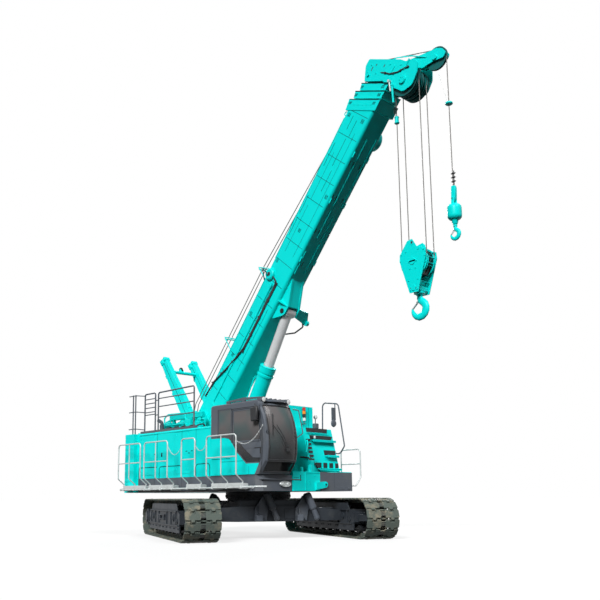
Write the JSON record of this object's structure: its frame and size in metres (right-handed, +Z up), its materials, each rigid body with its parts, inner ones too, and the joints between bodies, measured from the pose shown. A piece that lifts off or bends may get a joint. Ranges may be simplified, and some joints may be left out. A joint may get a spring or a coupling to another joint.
{
  "type": "telescopic crawler crane",
  "caption": "Telescopic boom crane on crawler tracks, with slewing upper works, cab, lift ram, hoisting hooks and a folded rear mast.",
  "frame": {"origin": "on the ground, under the middle of the machine's length and width with the boom at its working angle", "axes": "+X the way the upper works face, +Y to the operator's left, +Z up"},
  "size_m": [10.4368, 7.0004, 11.1577],
  "materials": {
    "turquoise": "gloss",
    "slate": "satin",
    "silver": "satin",
    "steel": "satin",
    "chrome": "polished",
    "cast": "satin",
    "track": "matte",
    "rope": "matte",
    "glass": "gloss",
    "trim": "matte"
  },
  "bodies": {
    "undercarriage": {"carbody": "slate", "levelling_jacks": "slate", "slewing_ring": "steel", "track_left": "track", "track_frame_left": "slate", "track_wheels_left": "cast", "track_right": "track", "track_frame_right": "slate", "track_wheels_right": "cast"},
    "upper": {"revolving_frame": "turquoise", "frame_pins": "steel", "side_decks": "slate", "front_tank": "slate", "counterweight": "turquoise", "house_right": "turquoise", "engine": "cast", "house_left": "turquoise", "air_box": "turquoise", "winches": "slate", "cab_shell": "slate", "cab_side_panel": "turquoise", "cab_door": "slate", "cab_glass": "glass", "cab_interior": "trim", "walkway": "slate", "handrails": "silver", "mirror_hoop": "slate", "roof_rails": "slate"},
    "rear_door": {"house_door_rear": "turquoise"},
    "front_door": {"house_door_front": "turquoise"},
    "mast": {"mast": "turquoise"},
    "base_section": {"boom_base": "turquoise", "ram_pin": "steel"},
    "second_section": {"boom_second": "turquoise"},
    "third_section": {"boom_third": "turquoise"},
    "top_section": {"boom_top": "turquoise", "boom_head": "turquoise", "head_sheaves": "cast"},
    "ram_rod": {"ram_rod": "chrome"},
    "ram_barrel": {"ram_barrel": "turquoise"},
    "main_falls": {"main_falls": "rope"},
    "main_block": {"hook_block": "turquoise", "main_hook": "turquoise"},
    "aux_fall": {"aux_fall": "rope"},
    "aux_block": {"aux_weight": "turquoise", "aux_hook": "turquoise"}
  },
  "joints": [
    {"name": "slew", "type": "hinge", "parent": "undercarriage", "child": "upper", "pos_m": [-1.14845, 0, 1.04], "axis": [0, 0, 1], "continuous": true},
    {"name": "luff", "type": "hinge", "parent": "upper", "child": "base_section", "pos_m": [-3.20345, 0, 2.764], "axis": [0, -1, 0], "range_deg": [-47, 30]},
    {"name": "tele_second", "type": "slide", "parent": "base_section", "child": "second_section", "axis": [0.6428, 0, 0.766], "range_m": [0, 6.1]},
    {"name": "tele_third", "type": "slide", "parent": "second_section", "child": "third_section", "axis": [0.6428, 0, 0.766], "range_m": [0, 6.1]},
    {"name": "tele_top", "type": "slide", "parent": "third_section", "child": "top_section", "axis": [0.6428, 0, 0.766], "range_m": [0, 6.1]},
    {"name": "ram_eye", "type": "hinge", "parent": "base_section", "child": "ram_rod", "pos_m": [0.03549, 0, 5.65946], "axis": [0, -1, 0], "range_deg": [-1, 1.5]},
    {"name": "ram_stroke", "type": "slide", "parent": "ram_rod", "child": "ram_barrel", "axis": [-0.4961, 0, -0.8682], "range_m": [-1.09, 0.7]},
    {"name": "main_hang", "type": "hinge", "parent": "top_section", "child": "main_falls", "pos_m": [4.08672, 0, 10.22306], "axis": [0, -1, 0], "range_deg": [-30.5, 47.5]},
    {"name": "main_hoist", "type": "slide", "parent": "main_falls", "child": "main_block", "axis": [0, 0, 1], "range_m": [-2, 3.12], "deforming": ["main_falls"]},
    {"name": "aux_hang", "type": "hinge", "parent": "top_section", "child": "aux_fall", "pos_m": [4.81245, 0, 10.52789], "axis": [0, -1, 0], "range_deg": [-30.5, 47.5]},
    {"name": "aux_hoist", "type": "slide", "parent": "aux_fall", "child": "aux_block", "axis": [0, 0, 1], "range_m": [-1.62, 2.52], "deforming": ["aux_fall"]},
    {"name": "mast_tilt", "type": "hinge", "parent": "upper", "child": "mast", "pos_m": [-3.34845, 0, 3.12], "axis": [0, -1, 0], "range_deg": [-20, 45]},
    {"name": "rear_door_hinge", "type": "hinge", "parent": "upper", "child": "rear_door", "pos_m": [-4.21815, -1.6, 2.12], "axis": [0, 0, -1], "range_deg": [0, 28]},
    {"name": "front_door_hinge", "type": "hinge", "parent": "upper", "child": "front_door", "pos_m": [-1.95675, -1.6, 2.12], "axis": [0, 0, 1], "range_deg": [0, 28]}
  ],
  "couplings": [
    {"joint": "tele_third", "follows": "tele_second", "ratio": 1},
    {"joint": "tele_top", "follows": "tele_second", "ratio": 1},
    {"joint": "ram_eye", "follows": "luff", "ratio": -0.03},
    {"joint": "ram_stroke", "follows": "luff", "m_per_rad": 1.32},
    {"joint": "main_hang", "follows": "luff", "ratio": -1},
    {"joint": "main_hoist", "follows": "luff", "m_per_rad": -3.78},
    {"joint": "aux_hang", "follows": "luff", "ratio": -1},
    {"joint": "aux_hoist", "follows": "luff", "m_per_rad": -3.05}
  ]
}
